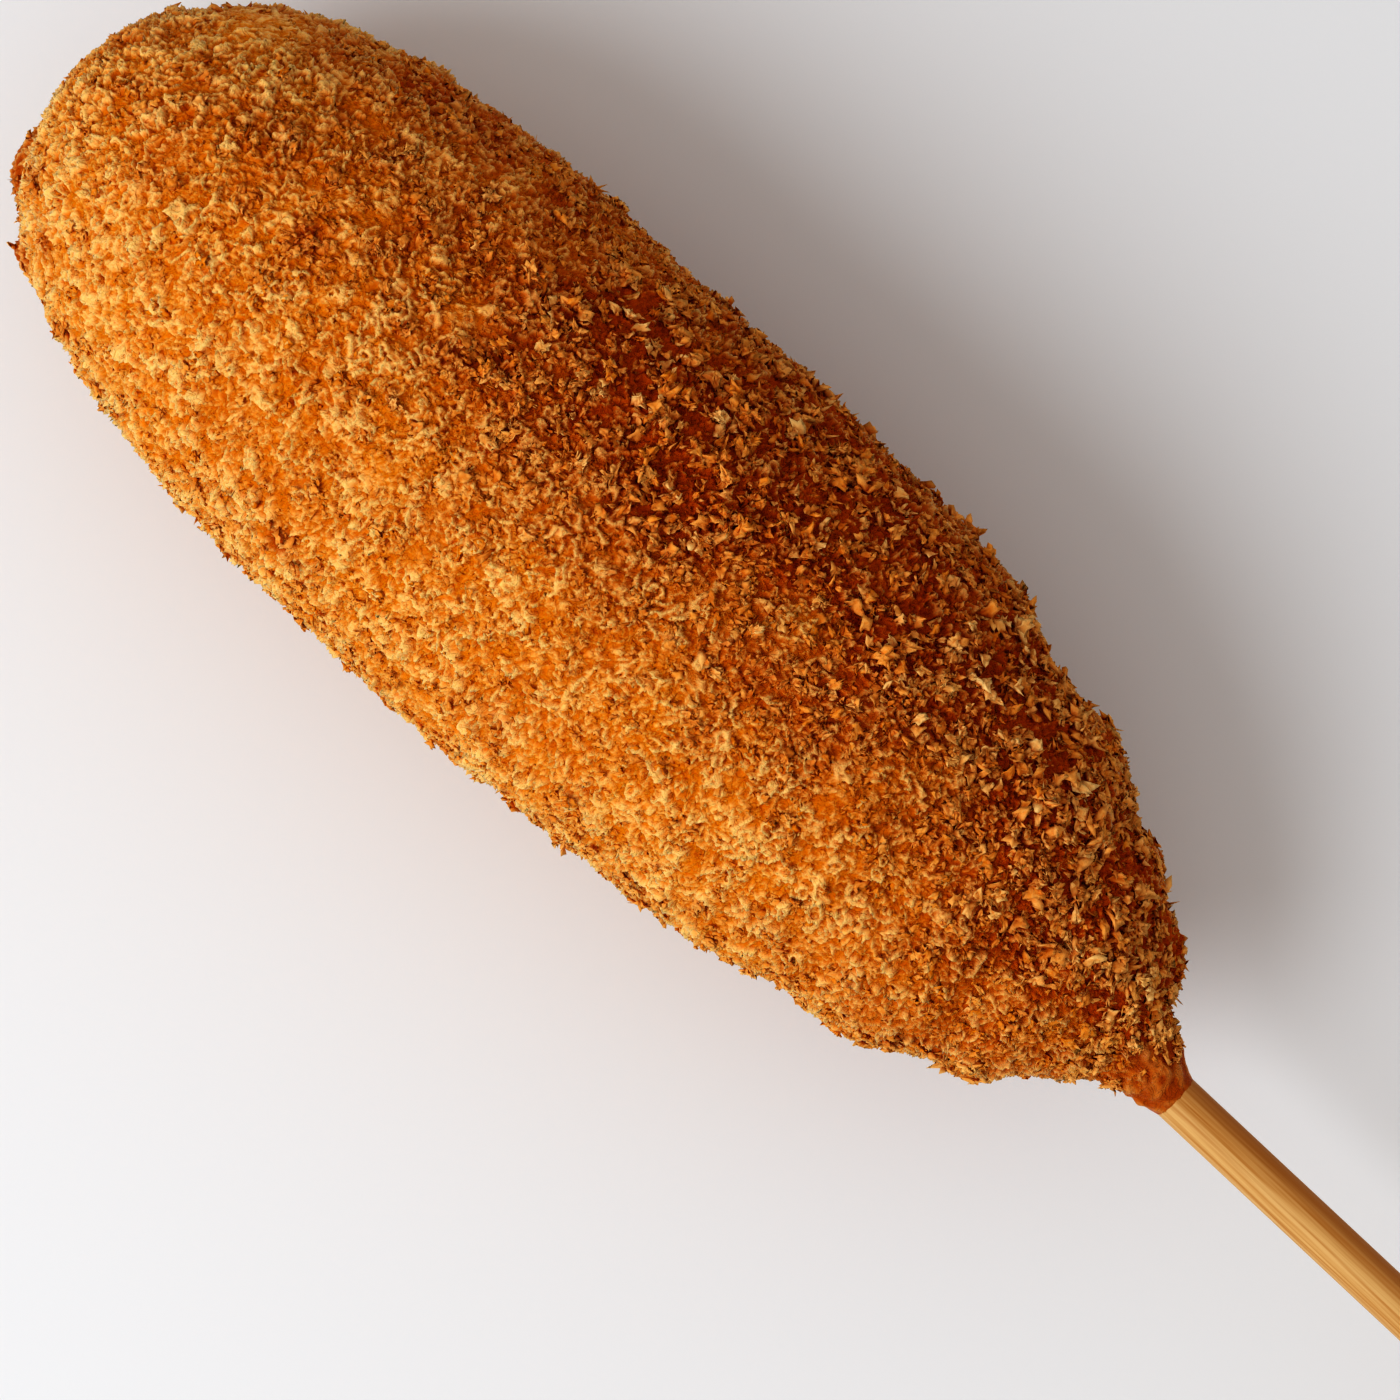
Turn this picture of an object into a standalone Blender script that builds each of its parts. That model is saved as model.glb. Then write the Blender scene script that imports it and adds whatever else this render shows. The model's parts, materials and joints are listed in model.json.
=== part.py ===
"""A crumb-coated corn dog on a round bamboo stick, lying on its side.

A thick coat of fried batter, rolled in coarse bread crumbs, has a blunt tip, a full belly and a
stepped shoulder. It ends in a bare collar of batter round the stick. The stick runs along +X and
+Z is up. The coat rests on a small flat spot at z = 0, and the origin lies on that level, under
the middle of the object's box. Named lengths are millimetres, and MM turns them into metres.
"""

import math
import random

import bmesh
import bpy
from mathutils import Matrix, Vector, noise

MM = 0.001
GOLDEN_ANGLE = math.pi * (3 - math.sqrt(5))

# Driving dimensions. A station is a distance along the coat from its tip.
COAT_LENGTH = 150.0
TIP_LENGTH = 38.0
TIP_BLUNTNESS = 2.3
STICK_DIAMETER = 5.0
STICK_SHOWN = 95.0
STICK_HIDDEN = 122.0
STICK_EDGE = 0.4
FIT_GAP = 0.3
AXIS_HEIGHT = 24.6
AXIS_ASIDE = -1.1
WHOLE_LENGTH = COAT_LENGTH + STICK_SHOWN

# The coat behind its tip: (station, radius) of the bare batter. The shoulder falls in two steps.
SHOULDER = (
    (38.0, 24.4), (66.0, 24.8), (88.0, 24.3), (103.0, 22.8), (113.0, 20.2), (122.0, 18.7),
    (128.0, 15.2), (132.5, 13.8), (137.0, 10.0), (140.5, 7.6), (143.0, 4.9), (147.0, 4.2), (150.0, 3.6),
)
# How far the coat's middle lies to +Y of the stick's axis: (station, distance).
BEND = (
    (0.0, 0.0), (25.0, 1.0), (63.0, 1.0), (85.0, 1.9), (105.0, 2.6), (122.0, 2.4), (138.0, 1.6),
    (145.0, 0.2), (150.0, 0.0),
)
# Swellings of the batter: (station, angle round the axis in degrees, width, height).
SWELLINGS = (
    (4.5, -95.0, 4.0, 1.4), (8.8, -102.0, 3.5, 1.2), (119.0, 84.0, 7.0, 0.9), (139.0, 80.0, 4.0, 1.6),
)

# The mesh of the batter. Its rings crowd together towards both ends, and less so with more evenness.
COAT_RINGS = 52
COAT_SIDES = 40
RING_EVENNESS = 0.4
POLE_SHARE = 1 - 1e-6

# Uneven batter, down to the size of the crumbs that cover it: (size of the lumps, height).
LUMPS = ((19.0, 0.65), (7.5, 0.45), (3.1, 1.7))
LUMPS_END = 151.0
LUMPS_FADE = 10.0
LUMPS_LEAST = 0.15

# Large bread crumbs, fused to the batter. Lift is a share of the thickness, and raggedness of each side.
CRUMB_COUNT = 195
CRUMB_SEED = 17
CRUMB_LENGTHS = (3.0, 5.2)
CRUMB_SLIMNESS = (0.5, 0.85)
CRUMB_THICKNESS = (1.2, 1.9)
CRUMB_LIFT = 0.2
CRUMB_RAGGEDNESS = 0.24
CRUMB_FIRST_STATION = 1.5
CRUMB_LAST_STATION = 141.5
CRUMB_MOST_TILT = 26.0
CRUMB_STRAY = 1.6
AREA_STEP = 0.25
SURFACE_STEP = 0.4
SMALLEST_RADIUS = 1.0

# No large crumb lies under the coat, where it rests: half the width and the height of that stretch.
REST_HALF_WIDTH = 8.0
REST_DEPTH = 3.0

STICK_SIDES = 32
BORE_SIDES = 24
RIM_ANGLE = 1.0
PAST_THE_END = 5.0
FLOOR_SLAB = (300.0, 100.0, 20.0)

COAT_COLOUR = (0.62, 0.25, 0.045, 1.0)
STICK_COLOUR = (0.68, 0.42, 0.16, 1.0)


def clear_scene():
    for old in list(bpy.data.objects):
        bpy.data.objects.remove(old)


def new_collection(name):
    made = bpy.data.collections.new(name)
    bpy.context.scene.collection.children.link(made)
    return made


def new_material(name, colour, roughness):
    material = bpy.data.materials.new(name)
    material.use_nodes = True
    shader = material.node_tree.nodes["Principled BSDF"]
    shader.inputs["Base Color"].default_value = colour
    shader.inputs["Roughness"].default_value = roughness
    shader.inputs["Metallic"].default_value = 0.0
    return material


def new_object(name, shape, collection, material=None):
    """An object made from a bmesh, which is freed. Its bent faces become triangles, for the Booleans."""
    bmesh.ops.triangulate(shape, faces=shape.faces)
    mesh = bpy.data.meshes.new(name)
    shape.to_mesh(mesh)
    shape.free()
    if material:
        mesh.materials.append(material)
    made = bpy.data.objects.new(name, mesh)
    collection.objects.link(made)
    return made


def smooth_through(points, at):
    """The height at one place of a smooth curve through (place, height) points."""
    if at <= points[0][0]:
        return points[0][1]
    if at >= points[-1][0]:
        return points[-1][1]
    right = next(i for i, point in enumerate(points) if point[0] > at)
    left = right - 1

    def slope(i):
        before, after = points[max(i - 1, 0)], points[min(i + 1, len(points) - 1)]
        return (after[1] - before[1]) / (after[0] - before[0])

    width = points[right][0] - points[left][0]
    t = (at - points[left][0]) / width
    return (
        (2 * t**3 - 3 * t**2 + 1) * points[left][1]
        + (t**3 - 2 * t**2 + t) * width * slope(left)
        + (3 * t**2 - 2 * t**3) * points[right][1]
        + (t**3 - t**2) * width * slope(right)
    )


def coat_radius(station):
    """Radius of the smooth batter: a blunt superellipse at the tip, then the shoulder's curve."""
    if station >= TIP_LENGTH:
        return smooth_through(SHOULDER, station)
    back = (TIP_LENGTH - max(station, 0.0)) / TIP_LENGTH
    return SHOULDER[0][1] * (1 - back**TIP_BLUNTNESS) ** (1 / TIP_BLUNTNESS)


def swelling_height(station, angle):
    """The batter's added height from its swellings."""
    total = 0.0
    for centre, degrees, width, height in SWELLINGS:
        turn = math.remainder(angle - math.radians(degrees), math.tau)
        across = turn * max(coat_radius(centre), SMALLEST_RADIUS)
        total += height * math.exp(-((station - centre) ** 2 + across**2) / (width * width / 2))
    return total


def lump_height(point, station):
    """Uneven height of the batter at a point in millimetres, fading out on the collar."""
    share = min(max((LUMPS_END - station) / LUMPS_FADE, LUMPS_LEAST), 1.0)
    return share * sum(height * noise.noise(point / size) for size, height in LUMPS)


def middle_point(station):
    """The middle of the coat at a station, in metres."""
    aside = smooth_through(BEND, station) + AXIS_ASIDE
    return MM * Vector((station - WHOLE_LENGTH / 2, aside, AXIS_HEIGHT))


def coat_point(station, angle):
    """A point of the batter's surface, in metres. Angle 0 is straight up and 90 degrees is +Y."""
    outwards = Vector((0.0, math.sin(angle), math.cos(angle)))
    radius = coat_radius(station)
    plain = outwards * radius + Vector((station, 0.0, 0.0))
    radius += lump_height(plain, station) + swelling_height(station, angle)
    return middle_point(station) + outwards * radius * MM


def ring_station(share):
    """Station of a ring that lies at a share of the way from tip to collar."""
    crowded = (1 - math.cos(math.pi * share)) / 2
    return COAT_LENGTH * (RING_EVENNESS * share + (1 - RING_EVENNESS) * crowded)


def make_batter(collection, material):
    """The solid batter, from a sphere whose rings move to their stations and radii."""
    shape = bmesh.new()
    bmesh.ops.create_uvsphere(shape, u_segments=COAT_SIDES, v_segments=COAT_RINGS, radius=1.0)
    for vertex in shape.verts:
        share = math.acos(max(-1.0, min(1.0, vertex.co.z))) / math.pi
        angle = math.atan2(vertex.co.y, vertex.co.x)
        if abs(vertex.co.z) > POLE_SHARE:
            vertex.co = middle_point(ring_station(round(share)))
        else:
            vertex.co = coat_point(ring_station(share), angle)
    bmesh.ops.recalc_face_normals(shape, faces=shape.faces)
    return new_object("crumb_coat", shape, collection, material)


def stations_by_area(count):
    """Stations spaced so that each gets an equal share of the coat's surface."""
    step_count = round((CRUMB_LAST_STATION - CRUMB_FIRST_STATION) / AREA_STEP)
    steps = [CRUMB_FIRST_STATION + i * AREA_STEP for i in range(step_count + 1)]
    areas = [0.0]
    for before, after in zip(steps, steps[1:]):
        slant = math.hypot(after - before, coat_radius(after) - coat_radius(before))
        areas.append(areas[-1] + slant * (coat_radius(before) + coat_radius(after)))
    found, j = [], 0
    for i in range(count):
        wanted = areas[-1] * (i + 0.5) / count
        while areas[j + 1] < wanted:
            j += 1
        found.append(steps[j] + AREA_STEP * (wanted - areas[j]) / (areas[j + 1] - areas[j]))
    return found


def surface_axes(station, angle):
    """The batter's point, outward normal and lengthwise tangent at a station and an angle."""
    point = coat_point(station, angle)
    along = coat_point(station + SURFACE_STEP, angle) - coat_point(station - SURFACE_STEP, angle)
    along.normalize()
    turn = SURFACE_STEP / max(coat_radius(station), SMALLEST_RADIUS)
    around = coat_point(station, angle + turn) - coat_point(station, angle - turn)
    normal = around.cross(along).normalized()
    if normal.dot(point - middle_point(station)) < 0:
        normal.negate()
    return point, normal, along


def crumb_places():
    """Where the large crumbs lie: (point, normal, tangent, length, slimness, thickness, spin, tilt)."""
    draw = random.Random(CRUMB_SEED)
    for i, station in enumerate(stations_by_area(CRUMB_COUNT)):
        station += draw.uniform(-CRUMB_STRAY, CRUMB_STRAY)
        angle = i * GOLDEN_ANGLE
        length = draw.uniform(*CRUMB_LENGTHS)
        slimness, thickness = draw.uniform(*CRUMB_SLIMNESS), draw.uniform(*CRUMB_THICKNESS)
        spin, tilt = draw.uniform(0, math.tau), math.radians(draw.uniform(0, CRUMB_MOST_TILT))
        station = min(max(station, CRUMB_FIRST_STATION), CRUMB_LAST_STATION)
        point, normal, along = surface_axes(station, angle)
        under = point.z < REST_DEPTH * MM and abs(point.y) < REST_HALF_WIDTH * MM
        if not under:
            yield point, normal, along, length, slimness, thickness, spin, tilt


def make_crumb(number, place, draw, collection):
    """One ragged crumb, half sunk in the batter: a flat block with uneven corners."""
    point, normal, along, length, slimness, thickness, spin, tilt = place
    shape = bmesh.new()
    bmesh.ops.create_cube(shape, size=1.0)
    for vertex in shape.verts:
        vertex.co += Vector(draw.uniform(-CRUMB_RAGGEDNESS, CRUMB_RAGGEDNESS) for _ in range(3))
    side_axis = normal.cross(along).normalized()
    turned = Matrix((along, side_axis, normal)).transposed().to_4x4()
    place_matrix = (
        Matrix.Translation(point + normal * thickness * CRUMB_LIFT * MM)
        @ turned
        @ Matrix.Rotation(spin, 4, "Z")
        @ Matrix.Rotation(tilt, 4, "Y")
        @ Matrix.Diagonal((length * MM, length * slimness * MM, thickness * MM, 1))
    )
    bmesh.ops.transform(shape, matrix=place_matrix, verts=shape.verts)
    bmesh.ops.recalc_face_normals(shape, faces=shape.faces)
    return new_object(f"crumb_{number}", shape, collection)


def rod(name, radius, start, end, sides, collection, material=None, edge=0.0):
    """A round rod on the stick's axis between two stations, in millimetres."""
    shape = bmesh.new()
    width, length = radius * MM, (end - start) * MM
    bmesh.ops.create_cone(shape, cap_ends=True, segments=sides, radius1=width, radius2=width, depth=length)
    middle = ((start + end - WHOLE_LENGTH) / 2, AXIS_ASIDE, AXIS_HEIGHT)
    lay_along_x = Matrix.Translation(Vector(middle) * MM) @ Matrix.Rotation(math.pi / 2, 4, "Y")
    bmesh.ops.transform(shape, matrix=lay_along_x, verts=shape.verts)
    if edge:
        rims = [line for line in shape.edges if line.calc_face_angle() > RIM_ANGLE]
        bmesh.ops.bevel(
            shape, geom=rims, offset=edge * MM, segments=2, profile=0.5, affect="EDGES", material=-1
        )
    return new_object(name, shape, collection, material)


def floor_cutter(collection):
    """A slab under z = 0, which cuts the flat spot that the coat rests on."""
    shape = bmesh.new()
    bmesh.ops.create_cube(shape, size=1.0)
    length, width, depth = FLOOR_SLAB
    size = Matrix.Diagonal((length * MM, width * MM, depth * MM, 1))
    bmesh.ops.transform(shape, matrix=Matrix.Translation((0, 0, -depth / 2 * MM)) @ size, verts=shape.verts)
    return new_object("floor_cutter", shape, collection)


def apply_boolean(target, operation, collection):
    """Joins every object of a collection to the target or cuts it out, then removes them."""
    modifier = target.modifiers.new(operation.title(), "BOOLEAN")
    modifier.operation = operation
    modifier.operand_type = "COLLECTION"
    modifier.collection = collection
    modifier.solver = "MANIFOLD"
    bpy.context.view_layer.objects.active = target
    bpy.ops.object.modifier_apply(modifier=modifier.name)
    for done in list(collection.objects):
        bpy.data.objects.remove(done)
    bpy.data.collections.remove(collection)


def drop_loose_scraps(target):
    """Keeps the largest body of a mesh, where faces that share an edge belong to one body."""
    shape = bmesh.new()
    shape.from_mesh(target.data)
    unseen, bodies = set(shape.faces), []
    while unseen:
        waiting = [unseen.pop()]
        body = list(waiting)
        while waiting:
            for edge in waiting.pop().edges:
                for face in edge.link_faces:
                    if face in unseen:
                        unseen.remove(face)
                        waiting.append(face)
                        body.append(face)
        bodies.append(body)
    for scrap in sorted(bodies, key=len)[:-1]:
        bmesh.ops.delete(shape, geom=scrap, context="FACES")
    shape.to_mesh(target.data)
    shape.free()


def main():
    clear_scene()
    parts = new_collection("corn_dog")
    crumbs = new_collection("crumbs")
    cutters = new_collection("cutters")

    coat = make_batter(parts, new_material("fried_crumb_coat", COAT_COLOUR, 0.6))
    draw = random.Random(CRUMB_SEED + 1)
    for number, place in enumerate(crumb_places()):
        make_crumb(number, place, draw, crumbs)
    apply_boolean(coat, "UNION", crumbs)

    radius = STICK_DIAMETER / 2
    start = COAT_LENGTH - STICK_HIDDEN
    floor_cutter(cutters)
    rod("bore", radius + FIT_GAP, start - FIT_GAP, COAT_LENGTH + PAST_THE_END, BORE_SIDES, cutters)
    apply_boolean(coat, "DIFFERENCE", cutters)
    drop_loose_scraps(coat)

    bamboo = new_material("bamboo", STICK_COLOUR, 0.55)
    rod("stick", radius, start, WHOLE_LENGTH, STICK_SIDES, parts, bamboo, STICK_EDGE)


main()
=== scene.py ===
"""The looks of a crumb-coated corn dog on a bamboo stick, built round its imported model.

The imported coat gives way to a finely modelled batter, three sizes of fried bread crumbs and a
few large flakes at named places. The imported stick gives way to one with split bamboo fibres.
A station is a distance along the coat from its tip, and aside is the distance to +Y of the
stick's axis. Named lengths are millimetres, and MM turns them into metres.
"""

import json
import math

import bmesh
import bpy
import numpy as np
from mathutils import Matrix, Vector, kdtree, noise

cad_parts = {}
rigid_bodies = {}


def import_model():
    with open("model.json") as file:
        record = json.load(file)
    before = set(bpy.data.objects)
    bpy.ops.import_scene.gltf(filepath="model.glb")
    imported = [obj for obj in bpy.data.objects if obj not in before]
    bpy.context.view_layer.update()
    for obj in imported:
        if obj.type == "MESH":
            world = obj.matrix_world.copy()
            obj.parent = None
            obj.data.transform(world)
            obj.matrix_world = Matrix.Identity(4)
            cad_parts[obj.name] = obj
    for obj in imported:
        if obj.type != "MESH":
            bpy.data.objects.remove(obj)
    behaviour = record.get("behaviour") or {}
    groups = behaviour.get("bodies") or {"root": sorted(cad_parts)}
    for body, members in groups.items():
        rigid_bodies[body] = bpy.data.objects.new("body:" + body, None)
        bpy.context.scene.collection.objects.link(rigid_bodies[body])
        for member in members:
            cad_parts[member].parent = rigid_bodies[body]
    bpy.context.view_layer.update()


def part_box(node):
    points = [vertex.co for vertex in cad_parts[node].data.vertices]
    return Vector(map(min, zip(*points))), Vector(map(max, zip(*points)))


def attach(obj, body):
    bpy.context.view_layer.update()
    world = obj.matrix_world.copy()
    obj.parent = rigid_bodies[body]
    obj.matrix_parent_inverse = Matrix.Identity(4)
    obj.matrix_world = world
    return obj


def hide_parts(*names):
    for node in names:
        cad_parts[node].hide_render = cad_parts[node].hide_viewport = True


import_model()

bl_info = {
    "name": "Corn Dog",
    "version": (1, 0, 0),
    "blender": (4, 5, 0),
    "location": "View3D > Sidebar > Corn Dog",
    "description": "Models a crumb-coated corn dog on a bamboo stick",
    "category": "Add Mesh",
}

MM = 0.001
BODY = "root"

# The frame gives the stick's place and thickness, and with the two lengths the coat's tip.
STICK_LOW, STICK_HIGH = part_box("stick")
AXIS_Y = (STICK_LOW.y + STICK_HIGH.y) / 2
AXIS_Z = (STICK_LOW.z + STICK_HIGH.z) / 2
STICK_RADIUS = (STICK_HIGH.z - STICK_LOW.z) / 2 / MM
STICK_SHOWN = 95.0
COAT_LENGTH = 150.0
TIP_X = STICK_HIGH.x - (STICK_SHOWN + COAT_LENGTH) * MM
TIP = np.array([TIP_X, AXIS_Y, AXIS_Z])

# The smooth batter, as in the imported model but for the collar's last millimetres, which are
# slimmer, and the two blisters at the tip, which stand a little higher and nearer to its end.
TIP_LENGTH = 38.0
TIP_BLUNTNESS = 2.3
SHOULDER = (
    (38.0, 24.4), (66.0, 24.8), (88.0, 24.3), (103.0, 22.8), (113.0, 20.2), (122.0, 18.7),
    (128.0, 15.2), (132.5, 13.8), (137.0, 10.0), (140.5, 7.4), (143.5, 5.0), (146.0, 3.9), (148.0, 3.0),
    (149.3, 2.6), (150.0, 2.4),
)
BEND = (
    (0.0, 0.0), (25.0, 1.0), (63.0, 1.0), (85.0, 1.9), (105.0, 2.6), (122.0, 2.4), (138.0, 1.6),
    (145.0, 0.8), (148.5, 0.1), (150.0, 0.0),
)
SWELLINGS = (
    (2.8, -87.0, 3.0, 1.8), (8.4, -89.0, 2.8, 1.6), (119.0, 84.0, 7.0, 0.9), (139.0, 80.0, 4.0, 1.6),
)
# What the coat's sides add: an amount, and the stations where it comes in and where it goes out.
LEFT_FULLNESS = (1.05, (22.0, 36.0), (142.0, 132.0))
RIGHT_FULLNESS = (1.1, (30.0, 50.0), (113.0, 104.0))
TIP_SLIMNESS = (0.9, (0.0, 6.0), (28.0, 18.0))
# Sides of a ring lie closer together at the top, which is seen, than at the bottom.
TOP_FINENESS = 0.4
# How far a stretch's end ring lies under the surface of the next stretch.
UNDERLAP = 0.05
# Spots seen in the photo, as (station, degrees from the top towards +Y, width, amount). An amount
# below 0 makes a browner place paler.
BROWN_SPOTS = (
    (2.8, -84.0, 3.0, 0.8), (8.4, -86.0, 2.8, 0.8), (5.6, -51.0, 2.0, 0.6), (10.9, -56.0, 2.0, 0.6),
    (31.2, 5.0, 2.4, 0.8), (61.8, 19.0, 3.0, 0.3), (116.4, 31.0, 5.0, 0.6), (130.6, 19.0, 4.0, 0.6),
    (137.8, 8.0, 3.5, 1.2), (48.0, -55.0, 2.5, 1.0), (90.5, 53.0, 4.0, 0.7), (98.2, 29.0, 4.0, 0.7),
    (63.1, 36.0, 5.0, 0.5), (57.0, 60.0, 14.0, -0.25), (17.0, 40.0, 8.0, -0.2),
)
SMOOTH_SPOTS = (
    (11.1, 56.0, 7.0, 1.0), (51.1, -22.0, 4.0, 1.2), (47.2, 17.0, 3.0, 0.8), (89.7, 15.0, 3.5, 0.7),
)
# Clusters of pale flakes seen in the photo, as (station, degrees from the top, flake length, paleness).
PALE_CLUSTERS = (
    (32.3, 36.0, 2.2, 0.9), (40.1, 43.0, 2.6, 0.8), (59.9, 57.0, 2.4, 0.8), (53.5, 11.0, 2.0, 1.0),
    (58.5, 26.0, 1.8, 1.0), (61.2, 24.0, 2.2, 1.0), (47.9, -8.0, 1.8, 0.9), (89.7, 22.0, 2.0, 0.9),
    (138.5, 34.0, 2.6, 1.0), (143.9, 31.0, 2.8, 0.9), (141.5, 62.0, 2.6, 0.8), (126.2, 78.0, 3.0, 0.6),
    (121.0, 80.0, 2.8, 0.6), (113.5, 72.0, 2.8, 0.6), (140.1, -60.0, 2.2, 0.8), (130.7, -68.0, 2.4, 0.8),
    (123.6, -68.0, 2.4, 0.7), (41.9, -76.0, 2.4, 0.6), (45.2, -76.0, 2.2, 0.7), (18.2, -73.0, 2.4, 0.6),
    (49.1, -55.0, 1.8, 1.0), (134.5, 15.0, 2.4, 0.9), (128.0, 28.0, 2.2, 0.9), (104.0, 30.0, 2.2, 0.8),
    (145.5, 62.0, 2.0, 0.9), (142.5, -5.0, 2.2, 0.9), (141.0, -35.0, 2.2, 0.8), (146.8, 40.0, 1.6, 0.8),
    (144.0, -60.0, 1.6, 0.8), (139.5, 10.0, 2.0, 0.9), (136.5, 60.0, 2.8, 0.7), (133.0, 50.0, 2.4, 0.8),
    (139.5, 80.0, 2.6, 0.7), (142.0, 76.0, 2.4, 0.8), (137.5, 92.0, 2.8, 0.6), (144.0, 50.0, 2.0, 0.8),
)
FLAKES_PER_CLUSTER = 9
CLUSTER_REACH = 1.1
STRETCHES = ("batter_tip", "batter_front", "batter_middle", "batter_rear", "batter_collar")

# Widths of what the noise makes on the coat, with heights for the lumps.
LUMPS = ((19.0, 0.65), (7.5, 0.45))
SOFT_WIDTH = 2.4
PATCH_WIDTHS = (17.0, 6.0)
THICK_AND_THIN_WIDTHS = (5.0, 2.2)
TEAR_WIDTH = 1.5
RIDGE_WIDTH = 0.85
SMALL_RIDGE_WIDTH = 0.5
BLOB_WIDTH = 1.3
GRAIN_WIDTH = 0.8
# The coat gets browner between the first two stations on its side towards +Y, where this browning is partly
# painted shade away from the window light, and again all round between the second two.
BROWNER_FROM, BROWNER_TO = 10.0, 75.0
BROWNEST_FROM, BROWNEST_TO = 105.0, 135.0

# Directions that turn a cell's middle into its chance values.
CELL_KEYS = ((12.99, 78.23, 37.72), (39.35, 11.14, 83.15), (73.16, 52.24, 9.15), (26.65, 93.99, 61.37))

# The collar is bare batter: its crumbs thin out between these two stations, which wander.
BARE_START = 142.0
BARE_END = 147.0
BARE_WANDER = 3.0

# Width of the finest ridges in the batter's and the crumbs' skin.
CRINKLE_WIDTH = 0.9

# Crumb shapes of each size: points round the rim, rings from the middle, and number of shapes.
CRUMB_SHAPES = {"fine": (6, 2, 60), "medium": (10, 2, 50), "large": (17, 3, 20)}
# Pieces of loose crumbs: name, size, the share of that size's number that it holds, crumbs to a cluster,
# shortest and longest crumb, and how much more of them lie on toasted places, which take in the painted shade
# towards +Y.
CRUMB_PIECES = (
    ("fine_crumbs_1", "fine", 1 / 2, 2, (0.6, 1.4), -0.4),
    ("fine_crumbs_2", "fine", 1 / 2, 4, (0.6, 1.4), -0.4),
    ("medium_crumbs_1", "medium", 1 / 3, 1, (1.0, 2.4), 0.9),
    ("medium_crumbs_2", "medium", 1 / 3, 2, (1.0, 2.4), 0.9),
    ("medium_crumbs_3", "medium", 1 / 3, 4, (1.0, 2.6), 0.9),
    ("large_crumbs", "large", 1, 2, (1.8, 3.0), 0.9),
)
CLUSTER_LENGTHS = (0.8, 1.1)
# A crumb leans by up to the first angle, and one on toasted places, which take in the painted shade towards
# +Y, by up to the second one more.
CRUMB_LEAN = 14.0
TOASTED_LEAN = 50.0
# Every crumb is rooted at least this deep, so that none floats.
LEAST_DEPTH = 0.12

STICK_SIDES = 72
STICK_CUTS = 90
# The rims of the cut ends turn by more than this angle, in radians.
RIM_ANGLE = 1.0
END_ROUNDING = 0.4
# The cut ends stay flat out to this share of the radius.
FLAT_END_SHARE = 0.7
FIBRE_LENGTH = 30.0
FIBRE_WIDTH = 0.5
FIBRE_SHADE_WIDTH = 0.35
# The stick is painted browner, as shade on its side away from the window light, between these two places,
# measured from the axis towards +Y.
SHADE_SIDE_FROM, SHADE_SIDE_TO = -0.3, 2.0

# The photo's frame: its width at the stick's height, and what lies at its middle.
PHOTO_WIDTH = 140.0
PHOTO_ROLL = 43.1
PHOTO_STATION = 87.9
PHOTO_ASIDE = -3.5
LENS = 100.0
SENSOR = 36.0

# The stage, in metres: half the floor's width, the window light's width, what it is aimed at and
# how far from there it hangs, its cool colour, and the warmer colour of the room round it.
FLOOR_REACH = 6.0
WINDOW_WIDTH = 0.62
WINDOW_AIM = (-0.03, 0.0, 0.02)
WINDOW_OFFSET = (-0.24, -0.58, 0.66)
WINDOW_COLOUR = (0.9, 0.95, 1.0)
ROOM_COLOUR = (1.0, 0.955, 0.925, 1.0)


def linear(code):
    """Linear RGBA of an sRGB hex colour such as C08040."""
    parts = [int(code[i : i + 2], 16) / 255 for i in (0, 2, 4)]
    return tuple(p / 12.92 if p <= 0.04045 else ((p + 0.055) / 1.055) ** 2.4 for p in parts) + (1.0,)


def add_node(tree, kind, inputs=None, **settings):
    """Adds a shader node. Inputs are values or other nodes' output sockets."""
    node = tree.nodes.new(kind)
    for name, value in settings.items():
        setattr(node, name, value)
    for name, value in (inputs or {}).items():
        if isinstance(value, bpy.types.NodeSocket):
            tree.links.new(value, node.inputs[name])
        else:
            node.inputs[name].default_value = value
    return node


def mix_colours(tree, factor, first, second):
    """The output of a mix of two colours, each a value or another node's socket."""
    mix = add_node(tree, "ShaderNodeMix", data_type="RGBA")
    sockets = (mix.inputs["Factor"], *[i for i in mix.inputs if i.name in "AB" and i.type == "RGBA"])
    for socket, value in zip(sockets, (factor, first, second)):
        if isinstance(value, bpy.types.NodeSocket):
            tree.links.new(value, socket)
        else:
            socket.default_value = value
    return next(output for output in mix.outputs if output.type == "RGBA")


def smooth_step(low, high, at):
    """Rises smoothly from 0 at low to 1 at high. Where low is above high, it falls instead."""
    share = np.clip((at - low) / (high - low), 0.0, 1.0)
    return share * share * (3 - 2 * share)


def smooth_through(points, at):
    """The height at one place of a smooth curve through (place, height) points."""
    if at <= points[0][0]:
        return points[0][1]
    if at >= points[-1][0]:
        return points[-1][1]
    right = next(i for i, point in enumerate(points) if point[0] > at)
    left = right - 1

    def slope(i):
        before, after = points[max(i - 1, 0)], points[min(i + 1, len(points) - 1)]
        return (after[1] - before[1]) / (after[0] - before[0])

    width = points[right][0] - points[left][0]
    t = (at - points[left][0]) / width
    return (
        (2 * t**3 - 3 * t**2 + 1) * points[left][1]
        + (t**3 - 2 * t**2 + t) * width * slope(left)
        + (3 * t**2 - 2 * t**3) * points[right][1]
        + (t**3 - t**2) * width * slope(right)
    )


def coat_radius(station):
    """Radius of the smooth batter: a blunt superellipse at the tip, then the shoulder's curve."""
    if station >= TIP_LENGTH:
        return smooth_through(SHOULDER, station)
    back = (TIP_LENGTH - max(station, 0.0)) / TIP_LENGTH
    return SHOULDER[0][1] * (1 - back**TIP_BLUNTNESS) ** (1 / TIP_BLUNTNESS)


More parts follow.
